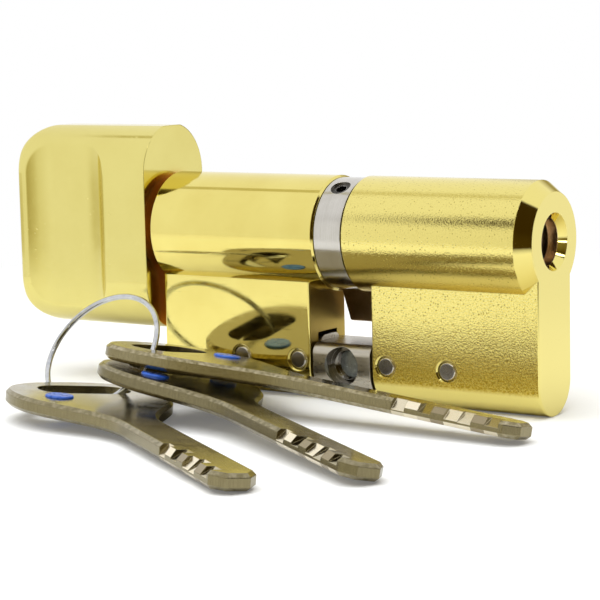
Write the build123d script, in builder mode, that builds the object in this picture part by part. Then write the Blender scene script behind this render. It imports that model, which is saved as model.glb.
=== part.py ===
"""Euro profile lock cylinder with a thumb knob, a keyed rotating-disc half and its bunch of keys.

Millimetres. The origin is where the fixing screw's axis crosses the middle plane of the lock.
+X points to the keyed end, +Z is up, and -Y is the side that the bunch of keys lies on.
"""
from build123d import *
from math import cos, sin, radians
import os

os.makedirs("parts", exist_ok=True)

# Profile of the lock body
barrel_dia = 17.0
keel_width = 10.0
profile_height = 33.0
screw_drop = 19.0  # barrel axis above the fixing screw
keyed_length = 32.0
knob_side_length = 31.5
keel_gap = 10.6
ring_slot = 4.7
collar_chamfer = 0.3
keel_edge = 0.25  # rounded edge of the keels' end faces

# Keyed front
front_cone_depth = 2.1
front_cone_drop = 1.56
front_wall = 2.7
keyhole_dia = 6.8
keyhole_mouth_dia = 8.1
keyhole_cone = 1.2

# Connecting bar and its cross thread
bar_width = 9.8
bar_top = 3.2
bar_edge = 1.6
bar_play = 0.45  # bar to each keel
tongue_thick = 5.0
tongue_top = 3.95
tongue_low = -3.4
tongue_reach = 16.4  # from the keel's end into its slot
tongue_edge = 1.2
slot_play = 0.1
slot_head = 0.45  # over the tongue
pin_dia = 2.9
pin_play = 0.05
pin_height = 0.5
pin_first = 7.5
pin_pitch = 10.0
pin_mouth = 0.25
pin_recess = 0.15
pin_edge = 0.3
cross_mouth_dia = 5.6
cross_mouth_depth = 1.75
thread_major = 5.0
thread_minor = 4.2
thread_pitch = 0.8
grub_front = 1.5  # end of the cross grub screw, before the middle plane
grub_length = 3.2
grub_socket_share = 1 / 3  # hex socket's corner radius, share of the thread's core

# Cam
cam_dia = 16.4
cam_width = 4.4
cam_bore = 11.2
lobe_radius = 14.9
lobe_width = 8.8
lobe_root = 4.2
lobe_tip = 5.9
lobe_angle = 32.0  # from straight down, towards +Y
lobe_clear = 0.35
lobe_edge = 0.5
cam_screw_dia = 3.0
cam_screw_angle = 120.0  # in the YZ plane, from +Y
cam_screw_sunk = 0.35
socket_share = 1 / 3.4  # hex socket's corner radius, share of the screw's diameter
socket_depth = 0.6  # share of the screw's length

# Knob and its spindle
knob_thick = 15.2
knob_height = 31.1
knob_length = 25.5
knob_gap = 1.4
knob_corner = 4.9
knob_crest = 0.3  # taken off the full-round top and bottom
knob_edge = 1.5
trough_near = 7.95  # from the knob's inner face
trough_far = 2.2  # from its outer end
trough_depth = 1.5
trough_round = 7.0
trough_edge = 0.5
spindle_dia = 9.0
spindle_in_knob = 17.0
spindle_play = 0.03
bush_wall = 1.0
bush_length = 8.0
washer_dia = 12.6
washer_play = 0.05
hub_play = 0.02
hub_slot_depth = 1.7
knob_screw_dia = 4.0
knob_screw_length = 3.0
knob_screw_inset = 4.2

# Plug: drum, discs, sidebar, clutch
drum_wall = 1.35
bore_wall = 2.0  # barrel wall round the drum
drum_play = 0.06
drum_rear_wall = 3.2
guard_thick = 1.8
guard_gap = 0.5
plug_gap = 0.1
keyway_height = 6.5
keyway_width = 2.6
disc_count = 10
disc_fill = 0.708  # share of the chamber's length that the discs take
disc_play = 0.04
sidebar_width = 2.0
sidebar_play = 0.06
sidebar_bite = 0.5
sidebar_groove = 0.8
circlip_thick = 0.85
circlip_wall = 1.75
circlip_bite = 0.55
circlip_open = 50.0
circlip_inset = 0.637  # from the collar's end
boss_dia = 9.6
clutch_thick = 3.0
clutch_height = 7.6
clutch_play = 0.05
clutch_gap = 0.3
clutch_flange = 0.6
spring_wall = 0.4
drill_pin_dia = 2.0
drill_pin_length = 7.0
drill_pin_spread = 5.2

# Keys and their ring
key_length = 66.5
key_thick = 2.2
bow_width = 23.5
bow_widest = 9.1
bow_length = 33.3
bow_end_pull = 0.66  # shares that shape the curves of the bow
bow_side_pull = 0.35
bow_neck_pull = 0.45
blade_width = 6.2
blade_tip = 2.0
key_edge = 0.5
key_slot_from_end = 7.05
key_slot_length = 13.8
key_slot_width = 6.8
dot_dia = 4.0
dot_from_end = 13.4
dot_offset = 5.7
dot_dome = 0.3
dot_round = 0.9  # share of the dome's height
cut_first = 3.6  # from the tip to the middle of the first cut
cut_length = 2.05
# cuts from the tip back: share of the blade's thickness, and tilt; the end discs take the plain blade
blade_cuts = [
    (0.5, 30), (0.45, 52), (0.66, 34), (0.62, 44), (0.38, 48), (0.55, 28), (0.45, 56), (0.7, 50),
]
ring_dia = 19.26
ring_wire = 0.84
ring_x = -32.14
ring_y = -20.01
ring_z = 2.29
ring_way = (0.070, 0.765, -0.641)  # square to the ring
# each key's place is the middle of its bow's end, on its lower face; turn, pitch and roll in degrees
first_key_x = -29.07
first_key_y = -17.23
first_key_z = 1.44
first_key_turn = -1.91
first_key_pitch = 5.44
first_key_roll = -9.57
second_key_x = -25.83
second_key_y = -16.2
second_key_z = -1.72
second_key_turn = -30.44
second_key_pitch = 2.72
second_key_roll = -12.08
third_key_x = -35.33
third_key_y = -24.2
third_key_z = -4.06
third_key_turn = -33.35
third_key_pitch = 0.92
third_key_roll = -6.19

# Worked out from the sizes above
barrel_r = barrel_dia / 2
keel_r = keel_width / 2
axis_z = screw_drop
keel_bottom = axis_z + barrel_r - profile_height
keel_round_z = keel_bottom + keel_r
keel_end = keel_gap / 2
collar_end = ring_slot / 2
barrel_axis = Axis((0, 0, axis_z), (1, 0, 0))
bore_r = barrel_r - bore_wall
drum_r = bore_r - drum_play
disc_bore_r = drum_r - drum_wall
disc_r = disc_bore_r - disc_play
front_wall_x = keyed_length - front_wall
guard_x = front_wall_x - guard_gap - guard_thick
drum_front_x = guard_x - plug_gap
circlip_x = collar_end + circlip_inset
drum_rear_x = circlip_x + circlip_thick + plug_gap
chamber_x = drum_rear_x + drum_rear_wall
hub_x = cam_width / 2 - clutch_gap - plug_gap
knob_inner_x = -knob_side_length - knob_gap
knob_outer_x = knob_inner_x - knob_length
spindle_r = spindle_dia / 2
bush_in_r = spindle_r + spindle_play
bush_out_r = bush_in_r + bush_wall


def save(piece, name):
    piece.label = name
    export_step(piece, f"parts/{name}.step")


def round_bar(x_from, x_to, radius, mode=Mode.ADD):
    """Cylinder on the barrel axis, in the part being built."""
    with BuildSketch(Plane.YZ.offset(x_from)) as end:
        with Locations((0, axis_z)):
            Circle(radius)
    extrude(end.sketch, amount=x_to - x_from, mode=mode)


def turned(points, mode=Mode.ADD):
    """Solid of revolution about the barrel axis from (x, radius) points."""
    with BuildSketch(Plane.XZ) as profile:
        with BuildLine():
            Polyline([(x, axis_z + radius) for x, radius in points], close=True)
        make_face()
    revolve(profile.sketch, axis=barrel_axis, mode=mode)


def cross_rods(places, radius, y_from, y_to, mode=Mode.ADD):
    """Cylinders along Y at (x, z) places."""
    with BuildSketch(Plane.XZ.offset(-y_from)) as ends:
        with Locations(*places):
            Circle(radius)
    extrude(ends.sketch, amount=-(y_to - y_from), mode=mode)


def profile_half(side, length, end_depth, end_drop):
    """One half of the profile: turned barrel with a coned end, and the keel under it."""
    end_x = side * length
    with BuildPart() as half:
        with BuildSketch(Plane.YZ.offset(side * keel_end)):
            with Locations((0, (axis_z + keel_round_z) / 2)):
                Rectangle(keel_width, axis_z - keel_round_z)
            with Locations((0, keel_round_z)):
                Circle(keel_r)
        extrude(amount=end_x - side * keel_end)
        end_faces = half.faces().filter_by(Axis.X)
        end_edges = end_faces.edges().filter_by(lambda e: e.center().Z < axis_z - keel_edge)
        fillet(end_edges, keel_edge)
        turned([
            (side * collar_end, 0),
            (side * collar_end, barrel_r - collar_chamfer),
            (side * (collar_end + collar_chamfer), barrel_r),
            (end_x - side * end_depth, barrel_r),
            (end_x, barrel_r - end_drop),
            (end_x, 0),
        ])
    return half.part


def pin_places(side):
    return [(side * (pin_first + i * pin_pitch), pin_height) for i in range(2)]


def cut_keel(side):
    """Tongue slot and pin holes of one keel, cut in the part being built."""
    slot_end = side * (keel_end + tongue_reach + slot_play)
    slot_high = tongue_top + slot_head
    slot_low = tongue_low - slot_play
    with BuildSketch(Plane.YZ.offset(side * (keel_end - keel_edge))) as slot:
        with Locations((0, (slot_high + slot_low) / 2)):
            Rectangle(tongue_thick + 2 * slot_play, slot_high - slot_low)
    extrude(slot.sketch, amount=slot_end - side * (keel_end - keel_edge), mode=Mode.SUBTRACT)
    hole_r = pin_dia / 2 + pin_play
    cross_rods(pin_places(side), hole_r, -keel_width, keel_width, Mode.SUBTRACT)
    with BuildSketch(Plane.XZ.offset(keel_r)) as near_mouths:
        with Locations(*pin_places(side)):
            Circle(hole_r + pin_mouth)
    extrude(near_mouths.sketch, amount=-pin_mouth, taper=45, mode=Mode.SUBTRACT)
    with BuildSketch(Plane.XZ.offset(-keel_r)) as far_mouths:
        with Locations(*pin_places(side)):
            Circle(hole_r + pin_mouth)
    extrude(far_mouths.sketch, amount=pin_mouth, taper=45, mode=Mode.SUBTRACT)


# Keyed half of the body
with BuildPart() as keyed_housing:
    add(profile_half(1, keyed_length, front_cone_depth, front_cone_drop))
    round_bar(collar_end, front_wall_x, bore_r, Mode.SUBTRACT)
    turned([
        (front_wall_x, 0),
        (front_wall_x, keyhole_dia / 2),
        (keyed_length - keyhole_cone, keyhole_dia / 2),
        (keyed_length, keyhole_mouth_dia / 2),
        (keyed_length, 0),
    ], Mode.SUBTRACT)
    round_bar(circlip_x - plug_gap, circlip_x + circlip_thick + plug_gap / 2,
              bore_r + circlip_bite + plug_gap / 2, Mode.SUBTRACT)
    # groove that the sidebar drops into when the lock is locked
    with BuildSketch(Plane.YZ.offset(chamber_x)):
        with Locations((0, axis_z - bore_r)):
            Rectangle(sidebar_width + 2 * sidebar_play, 2 * sidebar_groove)
    extrude(amount=drum_front_x - chamber_x, mode=Mode.SUBTRACT)
    cut_keel(1)
    # blind holes for the hardened pins, drilled down from the barrel's bore
    drill_pin_x = guard_x + guard_thick / 2
    drill_pin_top = axis_z - bore_r
    with BuildSketch(Plane.XY.offset(axis_z)):
        with Locations((drill_pin_x, drill_pin_spread / 2), (drill_pin_x, -drill_pin_spread / 2)):
            Circle(drill_pin_dia / 2)
    extrude(amount=-(axis_z - drill_pin_top + drill_pin_length), mode=Mode.SUBTRACT)
save(keyed_housing.part, "keyed_housing")

# Knob half of the body
with BuildPart() as knob_housing:
    add(profile_half(-1, knob_side_length, collar_chamfer, collar_chamfer))
    round_bar(-knob_side_length, -collar_end, bush_out_r, Mode.SUBTRACT)
    cut_keel(-1)
save(knob_housing.part, "knob_housing")

# Hardened pins in the keel behind the front
with BuildPart() as drill_pins:
    with BuildSketch(Plane.XY.offset(drill_pin_top - drill_pin_length)):
        with Locations((drill_pin_x, drill_pin_spread / 2), (drill_pin_x, -drill_pin_spread / 2)):
            Circle(drill_pin_dia / 2)
    extrude(amount=drill_pin_length)
save(drill_pins.part, "drill_pins")

# Bar that joins the halves: a block in the gap and a tongue into each keel
with BuildPart() as connecting_bar:
    block_half = keel_end - bar_play
    with BuildSketch(Plane.YZ.offset(-block_half)) as block:
        with Locations((0, keel_round_z)):
            Circle(bar_width / 2)
            Rectangle(bar_width, bar_width, align=(Align.CENTER, Align.MIN), mode=Mode.SUBTRACT)
            Rectangle(bar_width, bar_top - keel_round_z, align=(Align.CENTER, Align.MIN))
    extrude(amount=2 * block_half)
    block_top = connecting_bar.faces().sort_by(Axis.Z)[-1]
    fillet(block_top.edges().filter_by(Axis.X), bar_edge)
    tongue_end = keel_end + tongue_reach
    with BuildSketch(Plane.YZ.offset(-tongue_end)) as tongue:
        with Locations((0, (tongue_top + tongue_low) / 2)):
            Rectangle(tongue_thick, tongue_top - tongue_low)
        fillet(tongue.vertices().group_by(Axis.Z)[-1], tongue_edge)
    extrude(amount=2 * tongue_end)
    # the tongues stand above the block only inside the keels
    with BuildSketch(Plane.XY.offset(bar_top)):
        Rectangle(2 * block_half, bar_width)
    extrude(amount=tongue_top, mode=Mode.SUBTRACT)
    cross_rods(pin_places(1) + pin_places(-1), pin_dia / 2, -bar_width, bar_width, Mode.SUBTRACT)
    # cross thread: smooth mouth, thread round the grub screw, free thread behind it
    grub_end_y = grub_length - grub_front
    mouth_end_y = cross_mouth_depth - bar_width / 2
    cross_rods([(0, 0)], cross_mouth_dia / 2, -bar_width, mouth_end_y, Mode.SUBTRACT)
    cross_rods([(0, 0)], thread_major / 2, -grub_front, grub_end_y, Mode.SUBTRACT)
    cross_rods([(0, 0)], thread_minor / 2, grub_end_y, bar_width, Mode.SUBTRACT)
    turns = max(1, int((-grub_front - mouth_end_y) / thread_pitch))
    crests = [(thread_minor / 2, mouth_end_y + i * thread_pitch) for i in range(turns + 1)]
    roots = [(thread_major / 2, y + thread_pitch / 2) for _, y in crests[:-1]]
    flanks = sorted(crests + roots, key=lambda point: point[1])
    with BuildSketch():
        with BuildLine():
            Polyline([(0, mouth_end_y)] + flanks + [(thread_minor / 2, 0), (0, 0)], close=True)
        make_face()
    revolve(axis=Axis.Y, mode=Mode.SUBTRACT)
save(connecting_bar.part, "connecting_bar")

with BuildPart() as connecting_pins:
    cross_rods(pin_places(1) + pin_places(-1), pin_dia / 2, pin_recess - keel_r, keel_r - pin_recess)
    chamfer(connecting_pins.edges().filter_by(GeomType.CIRCLE), pin_edge)
save(connecting_pins.part, "connecting_pins")

with BuildPart() as cross_grub_screw:
    cross_rods([(0, 0)], thread_major / 2, -grub_front, grub_end_y)
    chamfer(cross_grub_screw.edges().sort_by(Axis.Y)[0], (thread_major - thread_minor) / 2)
    with BuildSketch(Plane.XZ.offset(-grub_end_y)):
        RegularPolygon(thread_minor * grub_socket_share, 6)
    extrude(amount=grub_length / 2, mode=Mode.SUBTRACT)
save(cross_grub_screw.part, "cross_grub_screw")

# Cam: ring between the barrels with one lobe that throws the bolt
lobe_out = (0, sin(radians(lobe_angle)), -cos(radians(lobe_angle)))
lobe_plane = Plane((0, 0, axis_z), x_dir=lobe_out, z_dir=(1, 0, 0))
with BuildPart() as cam:
    with BuildSketch(lobe_plane):
        with BuildLine():
            Polyline(
                (cam_bore / 2, -lobe_root / 2),
                (cam_dia / 2, -lobe_root / 2),
                (lobe_radius, -lobe_tip / 2),
                (lobe_radius, lobe_tip / 2),
                (cam_dia / 2, lobe_root / 2),
                (cam_bore / 2, lobe_root / 2),
                close=True,
            )
        make_face()
    extrude(amount=lobe_width / 2, both=True)
    round_bar(-lobe_width, lobe_width, lobe_radius, Mode.INTERSECT)
    # the lobe's shoulders clear the barrels' collars, its middle joins the ring
    turned([
        (cam_width / 2, 0),
        (cam_width / 2, barrel_r + lobe_clear),
        (lobe_width, barrel_r + lobe_clear),
        (lobe_width, 0),
    ], Mode.SUBTRACT)
    turned([
        (-cam_width / 2, 0),
        (-cam_width / 2, barrel_r + lobe_clear),
        (-lobe_width, barrel_r + lobe_clear),
        (-lobe_width, 0),
    ], Mode.SUBTRACT)
    tip_from = lobe_radius - 2 * lobe_edge
    fillet(cam.edges().filter_by(lambda e: lobe_plane.to_local_coords(e.center()).X > tip_from), lobe_edge)
    round_bar(-cam_width / 2, cam_width / 2, cam_dia / 2)
    round_bar(-cam_width / 2, cam_width / 2, cam_bore / 2, Mode.SUBTRACT)
    screw_way = (0, cos(radians(cam_screw_angle)), sin(radians(cam_screw_angle)))
    with BuildSketch(Plane((0, 0, axis_z), x_dir=(1, 0, 0), z_dir=screw_way)):
        Circle(cam_screw_dia / 2)
    extrude(amount=cam_dia, mode=Mode.SUBTRACT)
save(cam.part, "cam")

with BuildPart() as cam_grub_screw:
    screw_base = Plane((0, 0, axis_z), x_dir=(1, 0, 0), z_dir=screw_way).offset(cam_bore / 2)
    screw_length = (cam_dia - cam_bore) / 2 - cam_screw_sunk
    with BuildSketch(screw_base):
        Circle(cam_screw_dia / 2)
    extrude(amount=screw_length)
    with BuildSketch(screw_base.offset(screw_length)):
        RegularPolygon(cam_screw_dia * socket_share, 6)
    extrude(amount=-screw_length * socket_depth, mode=Mode.SUBTRACT)
save(cam_grub_screw.part, "cam_grub_screw")

# Thumb knob: a stadium section with rounded outer corners and a finger trough on each flat
with BuildPart() as knob:
    with BuildSketch(Plane.YZ.offset(knob_inner_x)):
        with Locations((0, axis_z)):
            SlotOverall(knob_height + 2 * knob_crest, knob_thick, rotation=90)
    extrude(amount=-knob_length)
    with BuildSketch(Plane.XZ) as knob_outline:
        with Locations((knob_inner_x - knob_length / 2, axis_z)):
            Rectangle(knob_length, knob_height)
        fillet(knob_outline.vertices().group_by(Axis.X)[0], knob_corner)
    extrude(amount=knob_thick, both=True, mode=Mode.INTERSECT)
    outline_faces = knob.faces().filter_by(lambda f: abs(f.normal_at().Y) < 0.01).sort_by(Axis.X)[:-1]
    fillet(outline_faces.edges().filter_by(lambda e: abs(e.center().Y) > knob_crest), knob_edge)
    trough_right = knob_inner_x - trough_near
    trough_left = knob_outer_x + trough_far
    trough_run = (trough_round**2 - (trough_round - trough_depth) ** 2) ** 0.5
    floor_y = knob_thick / 2 - trough_depth
    for side in (-1, 1):
        with BuildSketch(Plane.XY.offset(axis_z)):
            with BuildLine():
                rim_left = (trough_left, side * knob_thick / 2)
                rim_right = (trough_right, side * knob_thick / 2)
                floor_left = (trough_left + trough_run, side * floor_y)
                floor_right = (trough_right - trough_run, side * floor_y)
                TangentArc(floor_left, rim_left, tangent=(-1, 0))
                Line(floor_left, floor_right)
                TangentArc(floor_right, rim_right, tangent=(1, 0))
                Polyline(rim_left, (trough_left, side * knob_thick),
                         (trough_right, side * knob_thick), rim_right)
            make_face()
        extrude(amount=knob_height, both=True, mode=Mode.SUBTRACT)
        trough_edges = knob.edges(Select.LAST).filter_by(
            lambda e: abs(e.center().Y) > floor_y + 0.01 or abs(e.tangent_at(0.5).X) > 0.9)
        fillet(trough_edges, trough_edge)
    round_bar(knob_inner_x, knob_inner_x - spindle_in_knob, spindle_r, Mode.SUBTRACT)
    knob_screw_x = knob_inner_x - knob_screw_inset
    cross_rods([(knob_screw_x, axis_z)], knob_screw_dia / 2, 0, knob_thick, Mode.SUBTRACT)
save(knob.part, "knob")

with BuildPart() as knob_set_screw:
    cross_rods([(knob_screw_x, axis_z)], knob_screw_dia / 2, spindle_r, spindle_r + knob_screw_length)
    with BuildSketch(Plane.XZ.offset(-(spindle_r + knob_screw_length))):
        with Locations((knob_screw_x, axis_z)):
            RegularPolygon(knob_screw_dia * socket_share, 6)
    extrude(amount=knob_screw_length * socket_depth, mode=Mode.SUBTRACT)
    round_bar(knob_inner_x, knob_inner_x - spindle_in_knob, spindle_r, Mode.SUBTRACT)
save(knob_set_screw.part, "knob_set_screw")

# Spindle from the knob to the cam, with a hub that the plug's clutch can enter
with BuildPart() as knob_spindle:
    round_bar(knob_inner_x - spindle_in_knob, -cam_width / 2, spindle_r)
    round_bar(-cam_width / 2, hub_x, cam_bore / 2 - hub_play)
    with BuildSketch(Plane.YZ.offset(hub_x)):
        with Locations((0, axis_z)):
            Rectangle(clutch_thick + 4 * clutch_play, clutch_height + 4 * clutch_play)
    extrude(amount=-hub_slot_depth, mode=Mode.SUBTRACT)
    chamfer(knob_spindle.edges().sort_by(Axis.X)[0], collar_chamfer)
save(knob_spindle.part, "knob_spindle")

with BuildPart() as spindle_bushes:
    for bush_from in (-knob_side_length, -collar_end - bush_length):
        round_bar(bush_from, bush_from + bush_length, bush_out_r)
        round_bar(bush_from, bush_from + bush_length, bush_in_r, Mode.SUBTRACT)
save(spindle_bushes.part, "spindle_bushes")

with BuildPart() as thrust_washer:
    round_bar(knob_inner_x, -knob_side_length - washer_play, washer_dia / 2)
    round_bar(knob_inner_x, -knob_side_length - washer_play, spindle_r, Mode.SUBTRACT)
save(thrust_washer.part, "thrust_washer")

# Plug drum with the disc chamber, a rear boss and the sidebar's slot
pocket_x = drum_rear_x + drum_rear_wall / 3
with BuildPart() as plug_drum:
    round_bar(drum_rear_x, drum_front_x, drum_r)
    round_bar(collar_end, drum_rear_x, boss_dia / 2)
    round_bar(chamber_x, drum_front_x, disc_bore_r, Mode.SUBTRACT)
    round_bar(pocket_x, chamber_x, boss_dia / 2 - spring_wall, Mode.SUBTRACT)
    with BuildSketch(Plane.YZ.offset(collar_end)):
        with Locations((0, axis_z)):
            Rectangle(clutch_thick + 2 * clutch_play, clutch_height + 2 * clutch_play)
    extrude(amount=pocket_x - collar_end, mode=Mode.SUBTRACT)
    with BuildSketch(Plane.YZ.offset(chamber_x)):
        with Locations((0, axis_z - bore_r)):
            Rectangle(sidebar_width + 2 * sidebar_play, 2 * drum_wall + sidebar_width)
    extrude(amount=drum_front_x - plug_gap - drum_wall - chamber_x, mode=Mode.SUBTRACT)
save(plug_drum.part, "plug_drum")

with BuildPart() as sidebar:
    sidebar_low = axis_z - drum_r + sidebar_play
    sidebar_high = axis_z - disc_r + sidebar_bite
    with BuildSketch(Plane.YZ.offset(chamber_x + plug_gap)):
        with Locations((0, (sidebar_low + sidebar_high) / 2)):
            Rectangle(sidebar_width, sidebar_high - sidebar_low)
    extrude(amount=drum_front_x - drum_wall - 3 * plug_gap - chamber_x)
    chamfer(sidebar.edges().filter_by(Axis.X).group_by(Axis.Z)[0], sidebar_bite)
save(sidebar.part, "sidebar")


def keyway(x_from, x_to):
    """Slot that the key's blade passes, cut in the part being built."""
    with BuildSketch(Plane.YZ.offset(x_from)) as opening:
        with Locations((0, axis_z)):
            SlotOverall(keyway_height, keyway_width, rotation=90)
    extrude(opening.sketch, amount=x_to - x_from, mode=Mode.SUBTRACT)


with BuildPart() as guard_disc:
    round_bar(guard_x, guard_x + guard_thick, drum_r)
    keyway(guard_x, guard_x + guard_thick)
save(guard_disc.part, "guard_disc")

# Code discs and the spacers between them fill the drum's chamber
chamber_length = drum_front_x - chamber_x
disc_thick = chamber_length * disc_fill / disc_count
spacer_gap = (chamber_length - disc_count * disc_thick) / (disc_count + 1)
for number in range(disc_count):
    disc_x = chamber_x + spacer_gap + number * (disc_thick + spacer_gap)
    with BuildPart() as code_disc:
        round_bar(disc_x, disc_x + disc_thick, disc_r)
        keyway(disc_x, disc_x + disc_thick)
        with BuildSketch(Plane.YZ.offset(disc_x)):
            with Locations((0, axis_z - disc_r)):
                Rectangle(sidebar_width + 4 * sidebar_play, 2 * (sidebar_bite + 2 * sidebar_play))
        extrude(amount=disc_thick, mode=Mode.SUBTRACT)
    save(code_disc.part, f"code_disc_{number + 1:02d}")

with BuildPart() as disc_spacers:
    for number in range(disc_count + 1):
        spacer_x = chamber_x + number * (disc_thick + spacer_gap) + disc_play
        round_bar(spacer_x, spacer_x + spacer_gap - 2 * disc_play, disc_r - sidebar_bite - 4 * sidebar_play)
    round_bar(chamber_x, drum_front_x, keyway_height / 2 + disc_play, Mode.SUBTRACT)
save(disc_spacers.part, "disc_spacers")

# Clutch that couples the plug to the spindle when a key is pushed home, and its disc spring
with BuildPart() as clutch_dog:
    with BuildSketch(Plane.YZ.offset(hub_x + clutch_gap)):
        with Locations((0, axis_z)):
            Rectangle(clutch_thick, clutch_height)
    extrude(amount=pocket_x - hub_x - clutch_gap)
    round_bar(pocket_x, pocket_x + clutch_flange, boss_dia / 2 - spring_wall - clutch_play)
save(clutch_dog.part, "clutch_dog")

spring_from = pocket_x + clutch_flange
spring_out_r = boss_dia / 2 - 2 * spring_wall
with BuildPart() as clutch_spring:
    turned([
        (spring_from, spring_out_r),
        (spring_from + spring_wall, spring_out_r),
        (chamber_x, clutch_thick / 2 + spring_wall),
        (chamber_x, clutch_thick / 2),
        (chamber_x - spring_wall, clutch_thick / 2),
        (spring_from, spring_out_r - spring_wall),
    ])
save(clutch_spring.part, "clutch_spring")

# Open ring in the barrel's groove that keeps the plug in
with BuildPart() as plug_circlip:
    with BuildSketch(Plane.YZ.offset(circlip_x)) as circlip_outline:
        with Locations((0, axis_z)):
            Circle(bore_r + circlip_bite)
            Circle(bore_r + circlip_bite - circlip_wall, mode=Mode.SUBTRACT)
            open_r = 2 * bore_r
            half_open = radians(circlip_open / 2)
            with BuildLine():
                Polyline(
                    (0, axis_z),
                    (-open_r * sin(half_open), axis_z + open_r * cos(half_open)),
                    (open_r * sin(half_open), axis_z + open_r * cos(half_open)),
                    close=True,
                )
        make_face(mode=Mode.SUBTRACT)
    extrude(amount=circlip_thick)
save(plug_circlip.part, "plug_circlip")


# Bunch of keys: each key lies on a plane of its own, x from the bow's end to the tip
def key_plane(place, turn, pitch, roll):
    turned_lie = Location(place, (0, 0, turn))
    tilted_lie = turned_lie * Location((0, 0, 0), (0, pitch, 0))
    return Plane(tilted_lie * Location((0, 0, 0), (roll, 0, 0)))


key_lies = [  # place, turn, pitch, roll, and the side of the bow that holds the marker dot
    ((first_key_x, first_key_y, first_key_z), first_key_turn, first_key_pitch, first_key_roll, 1),
    ((second_key_x, second_key_y, second_key_z), second_key_turn, second_key_pitch, second_key_roll, -1),
    ((third_key_x, third_key_y, third_key_z), third_key_turn, third_key_pitch, third_key_roll, -1),
]


def key_blank(plane, dot_side):
    half_bow = bow_width / 2
    half_blade = blade_width / 2
    curve_in = (bow_length - bow_widest) * bow_neck_pull
    with BuildPart() as blank:
        with BuildSketch(plane) as flat:
            with BuildLine():
                Bezier((0, 0), (0, half_bow * bow_end_pull),
                       (bow_widest * bow_side_pull, half_bow), (bow_widest, half_bow))
                Bezier((bow_widest, half_bow), (bow_widest + curve_in, half_bow),
                       (bow_length - curve_in, half_blade), (bow_length, half_blade))
                Polyline((bow_length, half_blade), (key_length - blade_tip, half_blade),
                         (key_length, half_blade / 2), (key_length, 0))
                mirror(about=Plane.XZ)
            make_face()
        extrude(amount=key_thick)
        flat_sides = blank.faces().filter_by(lambda f: abs(f.normal_at().dot(plane.z_dir)) > 0.99)
        chamfer(flat_sides.edges(), key_edge)
        with BuildSketch(plane):
            with Locations((key_slot_from_end, 0)):
                SlotOverall(key_slot_length, key_slot_width, rotation=90)
            with Locations((dot_from_end, dot_side * dot_offset)):
                Circle(dot_dia / 2)
        extrude(amount=key_thick, mode=Mode.SUBTRACT)
        # slanted cuts along the blade, the same again with the key turned over
        middle = plane.offset(key_thick / 2)
        for turned_over in (0, 180):
            for i, (share, tilt) in enumerate(blade_cuts):
                cut_x = key_length - cut_first - i * cut_length
                cutter = middle.location * Location((0, 0, 0), (turned_over, 0, 0)) * Location(
                    (cut_x, -half_blade, key_thick * (0.5 - share)), (tilt, 0, 0))
                with Locations(cutter):
                    Box(cut_length, blade_width, key_thick, align=(Align.CENTER, Align.CENTER, Align.MIN),
                        mode=Mode.SUBTRACT)
    return blank.part


for number, (place, turn, pitch, roll, dot_side) in enumerate(key_lies, 1):
    lie = key_plane(place, turn, pitch, roll)
    with BuildPart() as key:
        add(key_blank(lie, dot_side))
    save(key.part, f"key_{number}")
    with BuildPart() as key_dot:
        with BuildSketch(lie.offset(-dot_dome)):
            with Locations((dot_from_end, dot_side * dot_offset)):
                Circle(dot_dia / 2)
        extrude(amount=key_thick + 2 * dot_dome)
        fillet(key_dot.edges().filter_by(GeomType.CIRCLE), dot_dome * dot_round)
    save(key_dot.part, f"key_dot_{number}")

ring_place = Plane((ring_x, ring_y, ring_z), z_dir=ring_way)
with BuildPart(ring_place) as key_ring:
    Torus(ring_dia / 2, ring_wire / 2)
save(key_ring.part, "key_ring")
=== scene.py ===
import bpy
from math import cos, pi, radians, sin
from mathutils import Matrix, Vector

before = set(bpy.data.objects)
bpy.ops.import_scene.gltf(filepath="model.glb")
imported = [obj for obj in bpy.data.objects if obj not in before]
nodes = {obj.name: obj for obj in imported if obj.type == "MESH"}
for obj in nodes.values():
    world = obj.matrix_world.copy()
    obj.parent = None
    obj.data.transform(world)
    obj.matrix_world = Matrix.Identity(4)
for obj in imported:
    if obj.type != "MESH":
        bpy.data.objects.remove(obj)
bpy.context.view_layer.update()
barrelZ = 0.019  # barrel axis above the fixing screw
print("frame loaded:", len(nodes), "nodes")

# small helpers for the shader graphs
noiseSpan = (0.3, 0.7)  # most of a noise's values lie in here
brushSpan = (0.36, 0.62)  # and most of two noises added up in here
endFacing = (0.9, 0.97)  # normal's share along X on a square end
bevelSamples = 6
white = (1.0, 1.0, 1.0)


def emptyMaterial(name):
    mat = bpy.data.materials.new(name)
    mat.use_nodes = True
    tree = mat.node_tree
    tree.nodes.clear()
    return mat, tree, tree.nodes.new("ShaderNodeOutputMaterial").inputs["Surface"]


def newMaterial(name, metallic=1.0):
    mat, tree, surface = emptyMaterial(name)
    shader = tree.nodes.new("ShaderNodeBsdfPrincipled")
    shader.inputs["Metallic"].default_value = metallic
    tree.links.new(shader.outputs["BSDF"], surface)
    return mat, tree, shader


def addNode(tree, kind, **settings):
    node = tree.nodes.new(kind)
    for key, value in settings.items():
        if key in node.inputs:
            node.inputs[key].default_value = value
        else:
            setattr(node, key, value)
    return node


def objectCoords(tree, scale=(1, 1, 1), turn=0.0):
    coords = tree.nodes.new("ShaderNodeTexCoord")
    place = addNode(tree, "ShaderNodeMapping", Scale=scale, Rotation=(0, 0, radians(turn)))
    tree.links.new(coords.outputs["Object"], place.inputs["Vector"])
    return place.outputs["Vector"]


def partsOf(tree, vector):
    node = tree.nodes.new("ShaderNodeSeparateXYZ")
    tree.links.new(vector, node.inputs[0])
    return node.outputs


def placeParts(tree):
    return partsOf(tree, objectCoords(tree))


def facing(tree):
    return partsOf(tree, tree.nodes.new("ShaderNodeTexCoord").outputs["Normal"])


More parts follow.
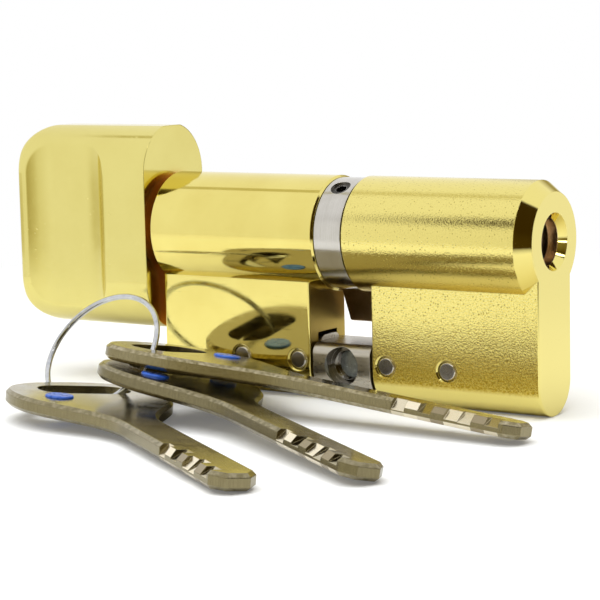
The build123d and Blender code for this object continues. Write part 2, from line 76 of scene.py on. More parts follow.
def noise(tree, vector, scale, detail=3.0, rough=0.5):
    tex = addNode(tree, "ShaderNodeTexNoise", Scale=scale, Detail=detail, Roughness=rough)
    tree.links.new(vector, tex.inputs["Vector"])
    return tex.outputs["Fac"]


def remap(tree, value, fromLow, fromHigh, toLow=0.0, toHigh=1.0):
    node = tree.nodes.new("ShaderNodeMapRange")
    limits = {"From Min": fromLow, "From Max": fromHigh, "To Min": toLow, "To Max": toHigh}
    for key, number in limits.items():
        node.inputs[key].default_value = number
    tree.links.new(value, node.inputs["Value"])
    return node.outputs["Result"]


def ramp(tree, value, stops):
    node = tree.nodes.new("ShaderNodeValToRGB")
    band = node.color_ramp
    while len(band.elements) < len(stops):
        band.elements.new(0.5)
    for element, (place, colour) in zip(band.elements, stops):
        element.position = place
        element.color = (*colour, 1)
    tree.links.new(value, node.inputs["Fac"])
    return node.outputs["Color"]


def twoTone(tree, value, places, low, high):
    return ramp(tree, value, list(zip(places, (low, high))))


def combine(tree, operation, first, second=0.0):
    node = addNode(tree, "ShaderNodeMath", operation=operation)
    for socket, value in zip(node.inputs, (first, second)):
        if isinstance(value, (int, float)):
            socket.default_value = value
        else:
            tree.links.new(value, socket)
    return node.outputs[0]


def product(tree, result, *others):
    for other in others:
        result = combine(tree, "MULTIPLY", result, other)
    return result


def addShares(tree, first, second, share):
    return combine(tree, "ADD", product(tree, first, share), product(tree, second, 1 - share))


def roughAt(tree, share, polished, rough):
    rest = product(tree, polished, combine(tree, "SUBTRACT", 1.0, share))
    return combine(tree, "ADD", rest, product(tree, share, rough))


def blendColours(tree, share, under, over):
    node = addNode(tree, "ShaderNodeMix", data_type="RGBA")
    tree.links.new(share, node.inputs["Factor"])
    for socket, colour in ((node.inputs[6], under), (node.inputs[7], over)):  # the two colour sockets
        if isinstance(colour, tuple):
            socket.default_value = (*colour, 1)
        else:
            tree.links.new(colour, socket)
    return node.outputs[2]


def roundedEdges(tree, radius):
    return addNode(tree, "ShaderNodeBevel", Radius=radius, samples=bevelSamples).outputs["Normal"]


def edgeWear(tree, rounded, wornFrom):
    across = addNode(tree, "ShaderNodeVectorMath", operation="DOT_PRODUCT")
    tree.links.new(rounded, across.inputs[0])
    tree.links.new(tree.nodes.new("ShaderNodeNewGeometry").outputs["Normal"], across.inputs[1])
    return remap(tree, across.outputs["Value"], *wornFrom)


def bump(tree, shader, height, distance, strength=1.0, rounded=None):
    node = addNode(tree, "ShaderNodeBump", Distance=distance, Strength=strength)
    tree.links.new(height, node.inputs["Height"])
    if rounded:
        tree.links.new(rounded, node.inputs["Normal"])
    tree.links.new(node.outputs["Normal"], shader.inputs["Normal"])


def awayFrom(tree, first, second):
    squares = combine(tree, "ADD", product(tree, first, first), product(tree, second, second))
    return combine(tree, "SQRT", squares)


def fromBarrelAxis(tree, parts):
    return awayFrom(tree, parts[1], combine(tree, "SUBTRACT", parts[2], barrelZ))


def fromCrossAxis(tree, parts):
    return awayFrom(tree, parts[0], parts[2])


def dress(mat, *names):
    for name in names:
        slots = nodes[name].data.materials
        slots.clear()
        slots.append(mat)


# the keels' ends that face each other across the gap are milled and rougher, and tinted darker as painted
# shade
milledEndShade = {"reach": 0.0057, "tint": (0.42, 0.30, 0.065), "roughness": 0.4}


def onMilledEndShade(tree, parts, towards):
    square = remap(tree, combine(tree, "ABSOLUTE", towards[0]), *endFacing)
    near = combine(tree, "LESS_THAN", combine(tree, "ABSOLUTE", parts[0]), milledEndShade["reach"])
    return product(tree, square, near)


# polished gold of the knob half: mirror with a few hairline scratches
polishedGold = {
    "pale": (0.85, 0.735, 0.235), "deep": (0.80, 0.675, 0.20), "cloud": 160, "edge": 0.00014,
    "smear": 420, "smearStretch": (1, 5, 5), "smearFrom": (0.3, 0.75), "roughness": (0.045, 0.11),
    "scratch": 5200, "scratchStretch": (0.05, 1, 1), "scratchFrom": (0.66, 0.8), "scratchDepth": 0.000006,
    "scratchStrength": 0.35,
}


def makePolishedGold(look):
    mat, tree, shader = newMaterial("polishedGold")
    cloud = noise(tree, objectCoords(tree), look["cloud"])
    tint = twoTone(tree, cloud, noiseSpan, look["deep"], look["pale"])
    # milled end faces: rougher, with a darker tint of painted shade
    milled = onMilledEndShade(tree, placeParts(tree), facing(tree))
    tree.links.new(blendColours(tree, milled, tint, milledEndShade["tint"]), shader.inputs["Base Color"])
    smear = noise(tree, objectCoords(tree, scale=look["smearStretch"]), look["smear"], detail=4)
    polish = remap(tree, smear, *look["smearFrom"], *look["roughness"])
    tree.links.new(roughAt(tree, milled, polish, milledEndShade["roughness"]), shader.inputs["Roughness"])
    scratch = noise(tree, objectCoords(tree, scale=look["scratchStretch"]), look["scratch"], detail=2)
    bump(tree, shader, remap(tree, scratch, *look["scratchFrom"]), look["scratchDepth"],
         look["scratchStrength"], roundedEdges(tree, look["edge"]))
    return mat


dress(makePolishedGold(polishedGold), "knob_housing")

# gold over a wrinkled skin on the keyed half: strong low on the keel, faint above, none on cone and end;
# painted amber shade low on the keel and under the barrel
wrinkledGold = {
    "pale": (0.86, 0.745, 0.245), "deep": (0.46, 0.30, 0.02), "pit": (0.34, 0.23, 0.03), "edge": 0.00014,
    "wrinkle": 3200, "wrinkleRough": 0.55, "grain": 4600, "grainLift": 0.08, "lift": 0.00007,
    "roughness": (0.06, 0.16),
    "pits": 2500, "pitEdge": (0.08, 0.3), "pitFrom": (0.5, 0.6), "pitDepth": 0.25, "pitShadeShare": 0.6,
    "flecks": 5200, "fleckFrom": (0.58, 0.65), "fleckShare": 0.6, "fleckTop": (0.0115, 0.0125),
    "fleckRest": 0.25,
    "cone": (0.2, 0.45),  # normal's share along X: cone and end faces are turned smooth
    "round": (-0.0024, -0.0016), "roundRest": 0.05,  # smoother again under the keel
    "keel": (-0.0004, 0.0046), "keelRest": 0.1,
    # the amber tint is painted shade, low on the keel and under the barrel
    "amberShade": (0.60, 0.43, 0.05), "amberShadeShare": 0.75, "amberShadeFrom": (0.2, 0.9),
    "bellyShade": (-0.08, -0.75), "bellyShadeFrom": 0.0105,  # underside of the barrel
    "hollowShade": (0.7, 0.15), "hollowShadeFrom": (0.15, 1.0), "hollowShadeRest": 0.03,
    "bronze": (0.72, 0.55, 0.36), "bronzeRoughness": 0.22, "holeRadius": 0.00345, "holeEnd": 0.03085,
}


def pitsIn(tree, place, look):
    cells = addNode(tree, "ShaderNodeTexVoronoi", Scale=look["pits"])
    tree.links.new(place, cells.inputs["Vector"])
    chosen = remap(tree, partsOf(tree, cells.outputs["Color"])[0], *look["pitFrom"])
    return product(tree, remap(tree, cells.outputs["Distance"], *look["pitEdge"], 1, 0), chosen)


def makeWrinkledGold(look):
    mat, tree, shader = newMaterial("wrinkledGold")
    place = objectCoords(tree)
    parts = partsOf(tree, place)
    towards = facing(tree)
    skin = product(tree, remap(tree, towards[0], *look["cone"], 1, 0),
                   remap(tree, parts[2], *look["round"], look["roundRest"], 1))
    strong = product(tree, skin, remap(tree, parts[2], *look["keel"], 1, look["keelRest"]))
    wrinkle = remap(tree, noise(tree, place, look["wrinkle"], rough=look["wrinkleRough"]), *noiseSpan)
    grain = remap(tree, noise(tree, place, look["grain"], detail=2), *noiseSpan)
    pit = pitsIn(tree, place, look)
    fine = combine(tree, "SUBTRACT", product(tree, grain, look["grainLift"]),
                   product(tree, pit, look["pitDepth"]))
    height = combine(tree, "ADD", product(tree, wrinkle, strong), product(tree, fine, skin))
    bump(tree, shader, height, look["lift"], 1.0, roundedEdges(tree, look["edge"]))
    # painted shade: amber tint on the barrel's underside and low on the keel, where the wrinkles are strong
    bellyShade = product(tree, remap(tree, towards[2], *look["bellyShade"]),
                    combine(tree, "GREATER_THAN", parts[2], look["bellyShadeFrom"]))
    shaded = combine(tree, "MAXIMUM", bellyShade, remap(tree, strong, *look["amberShadeFrom"]))
    gold = blendColours(tree, product(tree, shaded, look["amberShadeShare"]), look["pale"], look["amberShade"])
    # painted shade in the wrinkles' hollows: the deep colour there
    hollowShade = product(tree, remap(tree, wrinkle, *look["hollowShade"]),
                     remap(tree, strong, *look["hollowShadeFrom"], look["hollowShadeRest"], 1), skin)
    gold = blendColours(tree, hollowShade, gold, look["deep"])
    # painted shade in the pits: pit colour where they sink
    gold = blendColours(tree, product(tree, pit, skin, look["pitShadeShare"]), gold, look["pit"])
    fleck = noise(tree, place, look["flecks"], detail=2)
    fleck = product(tree, remap(tree, fleck, *look["fleckFrom"], 0, look["fleckShare"]), skin,
                    remap(tree, parts[2], *look["fleckTop"], 1, look["fleckRest"]))
    gold = blendColours(tree, fleck, gold, look["pit"])
    # milled end faces: rougher, with a darker tint of painted shade
    milled = onMilledEndShade(tree, parts, towards)
    gold = blendColours(tree, milled, gold, milledEndShade["tint"])
    inHole = product(tree, combine(tree, "LESS_THAN", fromBarrelAxis(tree, parts), look["holeRadius"]),
                     combine(tree, "LESS_THAN", parts[0], look["holeEnd"]))
    tree.links.new(blendColours(tree, inHole, gold, look["bronze"]), shader.inputs["Base Color"])
    gloss = remap(tree, product(tree, grain, skin), 0, 1, *look["roughness"])
    gloss = roughAt(tree, milled, gloss, milledEndShade["roughness"])
    tree.links.new(roughAt(tree, inHole, gloss, look["bronzeRoughness"]), shader.inputs["Roughness"])
    return mat


dress(makeWrinkledGold(wrinkledGold), "keyed_housing")

# paler, softer polish of the knob, with a few dust specks
# where gold faces gold in the narrow gap behind it, found by ambient occlusion, it is painted orange: a
# painted reflection
knobGold = {
    "pale": (0.785, 0.695, 0.24), "deep": (0.75, 0.655, 0.215), "cloud": 120, "cloudFrom": (0.35, 0.7),
    "haze": 700, "roughness": (0.09, 0.15), "edge": 0.00022,
    "specks": 1500, "speckFrom": (0.73, 0.8), "speckLift": 0.00004, "speckStrength": 0.4,
    "gapPaintedGlow": (0.66, 0.28, 0.025), "gapRoughness": 0.45, "gapReach": 0.004, "gapOpen": (0.6, 0.35),
    "gapSamples": 12,
}


def makeKnobGold(look):
    mat, tree, shader = newMaterial("knobGold")
    cloud = noise(tree, objectCoords(tree), look["cloud"])
    tint = twoTone(tree, cloud, look["cloudFrom"], look["deep"], look["pale"])
    around = addNode(tree, "ShaderNodeAmbientOcclusion", samples=look["gapSamples"],
                     Distance=look["gapReach"])
    inGap = product(tree, remap(tree, around.outputs["AO"], *look["gapOpen"]),
                    remap(tree, facing(tree)[0], *endFacing))
    tree.links.new(blendColours(tree, inGap, tint, look["gapPaintedGlow"]), shader.inputs["Base Color"])
    haze = noise(tree, objectCoords(tree), look["haze"], detail=4)
    gloss = remap(tree, haze, *noiseSpan, *look["roughness"])
    tree.links.new(roughAt(tree, inGap, gloss, look["gapRoughness"]), shader.inputs["Roughness"])
    specks = remap(tree, noise(tree, objectCoords(tree), look["specks"], detail=1), *look["speckFrom"])
    bump(tree, shader, specks, look["speckLift"], look["speckStrength"], roundedEdges(tree, look["edge"]))
    return mat


dress(makeKnobGold(knobGold), "knob")
print("gold done")

# cam: turned nickel ring, dark bronze lobe under it
camMetal = {
    "nickelDark": (0.56, 0.535, 0.485), "nickelLight": (0.64, 0.615, 0.57), "roughness": (0.12, 0.2),
    "lobeDark": (0.235, 0.155, 0.08), "lobeLight": (0.31, 0.21, 0.115), "lobeRoughness": 0.38,
    "lobeFrom": (0.0083, 0.00845),  # just outside the ring
    "grain": 5200, "stretch": (1, 0.03, 0.03), "cloud": 420, "grainShare": 0.5,
    "lift": 0.000006, "liftStrength": 0.5, "edge": 0.00012,
}


def makeCamMetal(look):
    mat, tree, shader = newMaterial("camMetal")
    turned = noise(tree, objectCoords(tree, scale=look["stretch"]), look["grain"], detail=4, rough=0.6)
    cloud = noise(tree, objectCoords(tree), look["cloud"])
    mixed = addShares(tree, turned, cloud, look["grainShare"])
    nickel = twoTone(tree, mixed, brushSpan, look["nickelDark"], look["nickelLight"])
    bronze = twoTone(tree, cloud, brushSpan, look["lobeDark"], look["lobeLight"])
    onLobe = remap(tree, fromBarrelAxis(tree, placeParts(tree)), *look["lobeFrom"])
    tree.links.new(blendColours(tree, onLobe, nickel, bronze), shader.inputs["Base Color"])
    gloss = remap(tree, mixed, *noiseSpan, *look["roughness"])
    tree.links.new(roughAt(tree, onLobe, gloss, look["lobeRoughness"]), shader.inputs["Roughness"])
    bump(tree, shader, turned, look["lift"], look["liftStrength"], roundedEdges(tree, look["edge"]))
    return mat


dress(makeCamMetal(camMetal), "cam")

# bare metals: colour, brushing direction and roughness of each
codeDiscs = [name for name in sorted(nodes) if name.startswith("code_disc")]
bareMetals = {
    # the bar's cross hole is darkened inside: painted shade
    "barSteel": {"dark": (0.46, 0.42, 0.345), "light": (0.58, 0.54, 0.46), "stretch": (0.3, 1, 1),
                 "grain": 2600, "roughness": (0.24, 0.36), "lift": 0.000012, "bore": (0.30, 0.285, 0.26),
                 "nodes": ["connecting_bar"]},
    "pinSteel": {"dark": (0.27, 0.255, 0.24), "light": (0.33, 0.31, 0.295), "stretch": (1, 1, 1),
                 "grain": 4600, "roughness": (0.2, 0.28), "lift": 0.000004, "rimHighlight": (0.78, 0.76, 0.73),
                 "nodes": ["connecting_pins"]},
    "zincScrew": {"dark": (0.44, 0.48, 0.46), "light": (0.80, 0.84, 0.81), "stretch": (1, 1, 1),
                  "grain": 3000, "roughness": (0.12, 0.3), "lift": 0.00003, "rimHighlight": (0.92, 0.93, 0.92),
                  "metallic": 0.55, "nodes": ["cross_grub_screw"]},
    "blackScrews": {"dark": (0.035, 0.032, 0.03), "light": (0.09, 0.085, 0.075), "stretch": (1, 1, 1),
                    "grain": 2200, "roughness": (0.26, 0.45), "lift": 0.00001,
                    "nodes": ["cam_grub_screw", "knob_set_screw", "plug_circlip", "clutch_spring",
                              "drill_pins"]},
    "groundSteel": {"dark": (0.4, 0.38, 0.34), "light": (0.58, 0.56, 0.52), "stretch": (1, 0.08, 0.08),
                    "grain": 3800, "roughness": (0.16, 0.3), "lift": 0.00001,
                    "nodes": ["knob_spindle", "disc_spacers", "sidebar", "clutch_dog"]},
    "guardSteel": {"dark": (0.62, 0.47, 0.34), "light": (0.78, 0.62, 0.47), "stretch": (1, 1, 1),
                   "grain": 3000, "roughness": (0.28, 0.42), "lift": 0.00001, "nodes": ["guard_disc"]},
    "sinteredBronze": {"dark": (0.2, 0.11, 0.045), "light": (0.36, 0.21, 0.09), "stretch": (1, 1, 1),
                       "grain": 3000, "roughness": (0.35, 0.55), "lift": 0.00002,
                       "nodes": ["spindle_bushes", "thrust_washer"]},
    "machinedBrass": {"dark": (0.5, 0.34, 0.11), "light": (0.66, 0.48, 0.19), "stretch": (1, 0.06, 0.06),
                      "grain": 4200, "roughness": (0.2, 0.36), "lift": 0.00001,
                      "nodes": ["plug_drum", *codeDiscs]},
    "ringWire": {"dark": (0.50, 0.51, 0.54), "light": (0.70, 0.71, 0.73), "stretch": (1, 1, 1),
                 "grain": 900, "roughness": (0.1, 0.2), "lift": 0.00001, "nodes": ["key_ring"]},
}

bareGrain = {"rough": 0.6, "cloud": 0.09, "share": 0.55, "strength": 0.5}  # fine brushing over a coarse cloud
bareEdge = {"radius": 0.00012, "wornFrom": (0.98, 0.88), "wear": 0.6, "bright": (0.8, 0.78, 0.74)}
# pins and the zinc screw get a painted highlight on this chamfer
endRim = {"inner": (0.9, 0.8), "outer": (0.4, 0.55)}  # chamfer of a round end that faces along Y
crossBore = {"radius": 0.00284, "roughness": 0.12}  # reamed mouth and thread of the cross hole


def makeBareMetal(name, look):
    mat, tree, shader = newMaterial(name, look.get("metallic", 1.0))
    brushed = noise(tree, objectCoords(tree, scale=look["stretch"]), look["grain"], 4, bareGrain["rough"])
    cloud = noise(tree, objectCoords(tree), look["grain"] * bareGrain["cloud"], detail=2)
    mixed = addShares(tree, brushed, cloud, bareGrain["share"])
    metal = twoTone(tree, mixed, brushSpan, look["dark"], look["light"])
    rounded = roundedEdges(tree, bareEdge["radius"])
    worn = product(tree, edgeWear(tree, rounded, bareEdge["wornFrom"]), bareEdge["wear"])
    metal = blendColours(tree, worn, metal, bareEdge["bright"])
    gloss = remap(tree, mixed, *noiseSpan, *look["roughness"])
    # painted highlight on the chamfer of a round end
    if "rimHighlight" in look:
        slope = combine(tree, "ABSOLUTE", facing(tree)[1])
        onRim = product(tree, remap(tree, slope, *endRim["inner"]), remap(tree, slope, *endRim["outer"]))
        metal = blendColours(tree, onRim, metal, look["rimHighlight"])
    # painted shade: darker inside the cross hole
    if "bore" in look:
        inBore = combine(tree, "LESS_THAN", fromCrossAxis(tree, placeParts(tree)), crossBore["radius"])
        metal = blendColours(tree, inBore, metal, look["bore"])
        gloss = roughAt(tree, inBore, gloss, crossBore["roughness"])
    tree.links.new(metal, shader.inputs["Base Color"])
    tree.links.new(gloss, shader.inputs["Roughness"])
    bump(tree, shader, brushed, look["lift"], bareGrain["strength"], rounded)
    return mat


for name, look in bareMetals.items():
    dress(makeBareMetal(name, look), *look["nodes"])
print("cam and bare metals done")

# nickel silver of the keys: smooth flats, milled edges, rubbed chamfers
# the slanted cuts are bright, each differently: fresh-cut metal and a painted highlight
keySilver = {
    "dark": (0.365, 0.32, 0.20), "light": (0.42, 0.37, 0.24), "brush": 5200, "brushStretch": (0.05, 1, 1),
    "haze": 380, "flatRoughness": (0.11, 0.2), "rounding": 0.0002,
    "edgeDark": (0.24, 0.205, 0.108), "edgeLight": (0.30, 0.257, 0.14), "edgeRoughness": 0.24,
    "milling": 5200, "millStretch": (1, 1, 0.06), "millDepth": 0.000003, "millStrength": 0.4,
    "edgeTilt": (0.95, 0.88), "slantTilt": (0.3, 0.45),  # normal's share along Z
    "rubbed": (0.70, 0.63, 0.47), "rubbedPatch": 1500, "rubbedFrom": (0.35, 0.65),
    "cutDull": (0.36, 0.30, 0.19), "cutFreshAndSheen": (0.95, 0.86, 0.66), "cutFrom": (0.25, 0.7),
    "cutLength": 0.00205, "firstCut": 0.063925, "lastCut": 0.047525,  # from the bow's end
    # the edges of keys 2 and 3, which lie partly under the others, are darkened: painted shade
    "lies": {
        "key_1": {"bowEnd": (-0.02907, -0.01723, 0.00144), "turn": -1.91, "pitch": 5.44,
                  "rubbing": 0.5, "edgeShade": 1.0},
        "key_2": {"bowEnd": (-0.02583, -0.0162, -0.00172), "turn": -30.44, "pitch": 2.72,
                  "rubbing": 0.3, "edgeShade": 0.78},
        "key_3": {"bowEnd": (-0.03533, -0.0242, -0.00406), "turn": -33.35, "pitch": 0.92,
                  "rubbing": 0.27, "edgeShade": 0.88},
    },
}


def fromBowEnd(tree, lie):
    turn, pitch = radians(lie["turn"]), radians(lie["pitch"])
    way = Vector((cos(turn) * cos(pitch), sin(turn) * cos(pitch), -sin(pitch)))
    along = addNode(tree, "ShaderNodeVectorMath", operation="DOT_PRODUCT")
    tree.links.new(objectCoords(tree), along.inputs[0])
    along.inputs[1].default_value = way
    return combine(tree, "SUBTRACT", along.outputs["Value"], way.dot(Vector(lie["bowEnd"])))


def cutTints(tree, fromEnd, look):
    count = combine(tree, "DIVIDE", combine(tree, "SUBTRACT", look["firstCut"], fromEnd), look["cutLength"])
    pick = addNode(tree, "ShaderNodeTexWhiteNoise", noise_dimensions="1D")
    tree.links.new(combine(tree, "FLOOR", count), pick.inputs["W"])
    return twoTone(tree, pick.outputs["Value"], look["cutFrom"], look["cutDull"], look["cutFreshAndSheen"])


def toned(colour, tone):
    return tuple(part * tone for part in colour)


def makeKeySilver(name, look, lie):
    mat, tree, shader = newMaterial("keySilver." + name)
    along = objectCoords(tree, scale=look["brushStretch"], turn=-lie["turn"])
    body = twoTone(tree, noise(tree, along, look["brush"], detail=2), noiseSpan, look["dark"], look["light"])
    milled = noise(tree, objectCoords(tree, scale=look["millStretch"]), look["milling"], detail=2)
    # painted shade: edge colours scaled darker per key
    edge = twoTone(tree, milled, noiseSpan, toned(look["edgeDark"], lie["edgeShade"]),
                   toned(look["edgeLight"], lie["edgeShade"]))
    tilt = combine(tree, "ABSOLUTE", facing(tree)[2])
    onEdge = remap(tree, tilt, *look["edgeTilt"])
    slanted = product(tree, onEdge, remap(tree, tilt, *look["slantTilt"]))
    patchy = noise(tree, objectCoords(tree), look["rubbedPatch"])
    patchy = remap(tree, patchy, *look["rubbedFrom"], 0, lie["rubbing"])
    tint = blendColours(tree, onEdge, body, edge)
    tint = blendColours(tree, product(tree, slanted, patchy), tint, look["rubbed"])
    fromEnd = fromBowEnd(tree, lie)
    inCuts = product(tree, slanted, combine(tree, "GREATER_THAN", fromEnd, look["lastCut"]),
                     combine(tree, "LESS_THAN", fromEnd, look["firstCut"]))
    tint = blendColours(tree, inCuts, tint, cutTints(tree, fromEnd, look))
    tree.links.new(tint, shader.inputs["Base Color"])
    haze = noise(tree, objectCoords(tree), look["haze"])
    flat = remap(tree, haze, *noiseSpan, *look["flatRoughness"])
    tree.links.new(roughAt(tree, onEdge, flat, look["edgeRoughness"]), shader.inputs["Roughness"])
    bump(tree, shader, milled, look["millDepth"], look["millStrength"], roundedEdges(tree, look["rounding"]))
    return mat


for name, lie in keySilver["lies"].items():
    dress(makeKeySilver(name, keySilver, lie), name)

# moulded blue marker dots
markerBlue = {"deep": (0.018, 0.085, 0.46), "bright": (0.035, 0.15, 0.66), "cloud": 900,
              "cloudFrom": (0.35, 0.7), "roughness": (0.22, 0.36), "grain": 2600, "lift": 0.00001,
              "liftStrength": 0.4}


def makeMarkerBlue(look):
    mat, tree, shader = newMaterial("markerBlue", metallic=0.0)
    cloud = noise(tree, objectCoords(tree), look["cloud"])
    tint = twoTone(tree, cloud, look["cloudFrom"], look["deep"], look["bright"])
    tree.links.new(tint, shader.inputs["Base Color"])
    tree.links.new(remap(tree, cloud, *noiseSpan, *look["roughness"]), shader.inputs["Roughness"])
    grain = noise(tree, objectCoords(tree), look["grain"], detail=2)
    bump(tree, shader, grain, look["lift"], look["liftStrength"])
    return mat


dress(makeMarkerBlue(markerBlue), "key_dot_1", "key_dot_2", "key_dot_3")
print("keys done")

# studio: pale floor that runs out to white, white surroundings, a shaded tent wall for the metal to mirror
studio = {"floorZ": -0.0055, "floorSize": 8.0, "floorColour": (0.86, 0.86, 0.86), "lift": 0.14,
          "whiteFrom": 0.1, "whiteFull": 0.2, "fill": (0.08, 0.9), "fillFrom": 0.2,
          "warmFill": (1.0, 0.95, 0.87)}

# only the metal sees this wall; bearings run from -Y towards +X, in degrees, heights in metres
# a patch fades in and out over its pairs
tentWall = {
    "radius": 0.24, "top": 0.5, "sides": 96, "toneTop": (0.42, 0.425),
    "warmth": (1.0, 1.18, 2.1),  # shade round the gold is warm
    "tones": [(-180, 1.0), (-38, 1.0), (-22, 0.93), (-11, 0.88), (0, 0.73), (11, 0.62), (21, 0.54),
              (32, 0.35), (45, 0.1), (52, 0.04), (84, 0.04), (90, 1.0), (180, 1.0)],
    "patches": [
        {"from": (-36, -27), "to": (-16, -20), "under": (0.12, 0.165), "over": (0.25, 0.205), "tone": 0.04},
        {"from": (-125, -110), "to": (-48, -64), "under": (-0.006, -0.0055), "over": (0.022, 0.01),
         "tone": 0.76},
        {"from": (142, 158), "to": (182, 181), "under": (0.03, 0.08), "over": (0.2, 0.11), "tone": 0.4},
        {"from": (-182, -181), "to": (-154, -164), "under": (0.03, 0.08), "over": (0.2, 0.11), "tone": 0.4},
    ],
}


def warm(tone):
    return tuple(tone ** power for power in tentWall["warmth"])


def bearingOf(tree, parts):
    turned = combine(tree, "ARCTAN2", parts[0], product(tree, parts[1], -1.0))
    return product(tree, turned, 180 / pi)


def tentTone(tree, bearing):
    stops = [((way + 180) / 360, warm(tone)) for way, tone in tentWall["tones"]]
    return ramp(tree, remap(tree, bearing, -180, 180), stops)


def seenRays(tree):
    path = tree.nodes.new("ShaderNodeLightPath")
    seen = combine(tree, "MAXIMUM", path.outputs["Is Camera Ray"], path.outputs["Is Glossy Ray"])
    return combine(tree, "MAXIMUM", seen, path.outputs["Is Transmission Ray"])


def makePaleFloor():
    mat, tree, surface = emptyMaterial("paleFloor")
    onCamera = tree.nodes.new("ShaderNodeLightPath").outputs["Is Camera Ray"]
    matt = addNode(tree, "ShaderNodeBsdfDiffuse", Color=(*studio["floorColour"], 1))
    glow = addNode(tree, "ShaderNodeEmission")
    tree.links.new(product(tree, onCamera, studio["lift"]), glow.inputs["Strength"])
    near = tree.nodes.new("ShaderNodeAddShader")
    tree.links.new(matt.outputs[0], near.inputs[0])
    tree.links.new(glow.outputs[0], near.inputs[1])
    away = addNode(tree, "ShaderNodeVectorMath", operation="LENGTH")
    tree.links.new(objectCoords(tree), away.inputs[0])
    far = remap(tree, away.outputs["Value"], studio["whiteFrom"], studio["whiteFull"])
    tone = tentTone(tree, bearingOf(tree, placeParts(tree)))
    runOut = addNode(tree, "ShaderNodeEmission", Strength=1.0)
    tree.links.new(blendColours(tree, onCamera, tone, white), runOut.inputs["Color"])
    mixed = tree.nodes.new("ShaderNodeMixShader")
    tree.links.new(product(tree, seenRays(tree), far), mixed.inputs[0])
    tree.links.new(near.outputs[0], mixed.inputs[1])
    tree.links.new(runOut.outputs[0], mixed.inputs[2])
    tree.links.new(mixed.outputs[0], surface)
    return mat


def makeFloor():
    bpy.ops.object.select_all(action="DESELECT")
    bpy.ops.mesh.primitive_plane_add(size=studio["floorSize"], location=(0, 0, studio["floorZ"]))
    floor = bpy.context.active_object
    floor.name = "floor"
    floor.data.materials.append(makePaleFloor())


makeFloor()


def makeSurroundings():
    world = bpy.data.worlds.new("whiteTent")
    bpy.context.scene.world = world
    world.use_nodes = True
    tree = world.node_tree
    tree.nodes.clear()
    sky = tree.nodes.new("ShaderNodeBackground")
    seen = seenRays(tree)
    tree.links.new(blendColours(tree, seen, studio["warmFill"], white), sky.inputs["Color"])
    up = partsOf(tree, tree.nodes.new("ShaderNodeTexCoord").outputs["Generated"])[2]
    fill = remap(tree, up, studio["fillFrom"], 1, *studio["fill"])  # more from above than from the sides
    tree.links.new(combine(tree, "MAXIMUM", seen, fill), sky.inputs["Strength"])
    tree.links.new(sky.outputs[0], tree.nodes.new("ShaderNodeOutputWorld").inputs["Surface"])


makeSurroundings()


def patchShare(tree, bearing, height, look):
    return product(tree, remap(tree, bearing, *look["from"]), remap(tree, bearing, *look["to"]),
                   remap(tree, height, *look["under"]), remap(tree, height, *look["over"]))


def makeTentShade():
    mat, tree, surface = emptyMaterial("tentWall")
    parts = placeParts(tree)
    bearing = bearingOf(tree, parts)
    shade = blendColours(tree, remap(tree, parts[2], *tentWall["toneTop"]), tentTone(tree, bearing), white)
    for look in tentWall["patches"]:
        shade = blendColours(tree, patchShare(tree, bearing, parts[2], look), shade, warm(look["tone"]))
    glow = addNode(tree, "ShaderNodeEmission", Strength=1.0)
    tree.links.new(shade, glow.inputs["Color"])
    tree.links.new(glow.outputs[0], surface)
    return mat


def onlyMirrored(obj):
    obj.visible_camera = obj.visible_diffuse = obj.visible_shadow = obj.visible_transmission = False


def makeTent():
    bpy.ops.object.select_all(action="DESELECT")
    tall = tentWall["top"] - studio["floorZ"]
    bpy.ops.mesh.primitive_cylinder_add(vertices=tentWall["sides"], radius=tentWall["radius"], depth=tall,
                                        end_fill_type="NOTHING", location=(0, 0, studio["floorZ"] + tall / 2))
    wall = bpy.context.active_object
    wall.name = "tentWall"
    bpy.ops.object.transform_apply()
    wall.data.materials.append(makeTentShade())
    onlyMirrored(wall)


makeTent()

# cards that only the metal mirrors: the seam of the tent's roof, and two small lamps that edges catch
cards = {
    "roofSeam": {"place": (-0.13, 0.013, 0.28), "size": (0.34, 0.034), "facing": (0, 0, -1),
                 "tone": 0.66, "glow": 1.0},
    "lensLamp": {"place": (0.129, -0.159, 0.032), "size": (0.016, 0.02), "facing": (-0.51, 0.85, -0.07),
                 "tone": 1.0, "glow": 6.0},
    "highLamp": {"place": (0.1415, -0.1187, 0.2554), "size": (0.05, 0.05), "facing": (-0.47, 0.4, -0.79),
                 "tone": 1.0, "glow": 5.0},
}


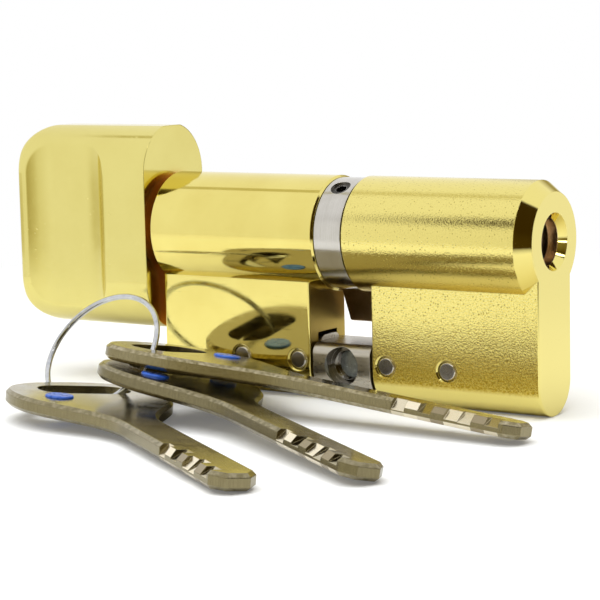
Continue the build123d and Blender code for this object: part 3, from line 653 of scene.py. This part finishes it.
def makeCard(name, look):
    bpy.ops.object.select_all(action="DESELECT")
    bpy.ops.mesh.primitive_plane_add(size=1, location=look["place"])
    card = bpy.context.active_object
    card.name = name
    card.scale = (*look["size"], 1)
    card.rotation_euler = Vector(look["facing"]).to_track_quat("Z", "Y").to_euler()
    bpy.ops.object.transform_apply()
    mat, tree, surface = emptyMaterial(name)
    light = addNode(tree, "ShaderNodeEmission", Color=(*warm(look["tone"]), 1), Strength=look["glow"])
    tree.links.new(light.outputs[0], surface)
    card.data.materials.append(mat)
    onlyMirrored(card)


for name, look in cards.items():
    makeCard(name, look)

# soft lamps that light the floor and the markers; the metal doesn't mirror them
softLamps = {
    "overhead": {"place": (-0.03, -0.2, 0.6), "size": 0.8, "watts": 4.9, "colour": (0.93, 0.97, 1.0)},
    "frontLeft": {"place": (-0.5, -0.5, 0.35), "size": 0.6, "watts": 0.6, "colour": (0.93, 0.97, 1.0)},
}


def addLamp(name, look):
    lamp = bpy.data.lights.new(name, "AREA")
    lamp.energy = look["watts"]
    lamp.color = look["colour"]
    lamp.size = look["size"]
    obj = bpy.data.objects.new(name, lamp)
    bpy.context.scene.collection.objects.link(obj)
    obj.location = look["place"]
    obj.rotation_euler = (-Vector(look["place"])).to_track_quat("-Z", "Y").to_euler()
    obj.visible_glossy = False


for name, look in softLamps.items():
    addLamp(name, look)
print("studio done")

# camera at the photograph's angle
shot = {"place": (0.1575, -0.2565, 0.0494), "azimuth": 33.16, "elevation": 7.58, "roll": -1.28,
        "lens": 124.07, "sensor": 36, "nearest": 0.01}


def addCamera():
    lens = bpy.data.cameras.new("shot")
    lens.lens = shot["lens"]
    lens.sensor_width = shot["sensor"]
    lens.clip_start = shot["nearest"]
    camera = bpy.data.objects.new("shot", lens)
    bpy.context.scene.collection.objects.link(camera)
    turn = Matrix.Rotation(radians(shot["azimuth"]), 4, "Z")
    tilt = Matrix.Rotation(radians(90 - shot["elevation"]), 4, "X")
    roll = Matrix.Rotation(radians(shot["roll"]), 4, "Z")
    camera.matrix_world = Matrix.Translation(shot["place"]) @ turn @ tilt @ roll
    bpy.context.scene.camera = camera


addCamera()
bpy.context.scene.view_settings.view_transform = "Standard"

print("scene done")
